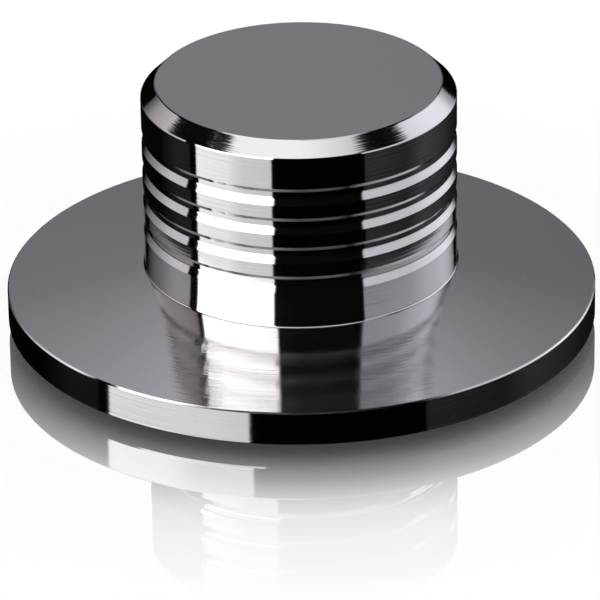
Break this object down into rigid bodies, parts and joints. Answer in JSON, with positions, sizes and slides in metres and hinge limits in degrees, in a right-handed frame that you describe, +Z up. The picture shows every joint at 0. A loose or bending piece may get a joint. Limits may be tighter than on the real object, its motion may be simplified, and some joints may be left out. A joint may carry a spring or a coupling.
{
  "type": "record weight",
  "caption": "Polished metal record weight: wide round flange, grooved grip with a chamfered top, blind spindle bore and a soft pad beneath.",
  "frame": {"origin": "centre of the pad's lower face, where the weight's axis meets the surface it stands on", "axes": "+Z up along the axis of revolution, out of the top face; the part is round, so +X and +Y are any two directions square to it"},
  "size_m": [0.09, 0.09, 0.0404],
  "materials": {
    "polished_metal": "turned steel polished to a mirror, with fine lathe lines round the axis",
    "pad_rubber": "matt black soft sheet rubber"
  },
  "bodies": {
    "root": {"weight_body": "polished_metal", "contact_pad": "pad_rubber"}
  },
  "joints": []
}
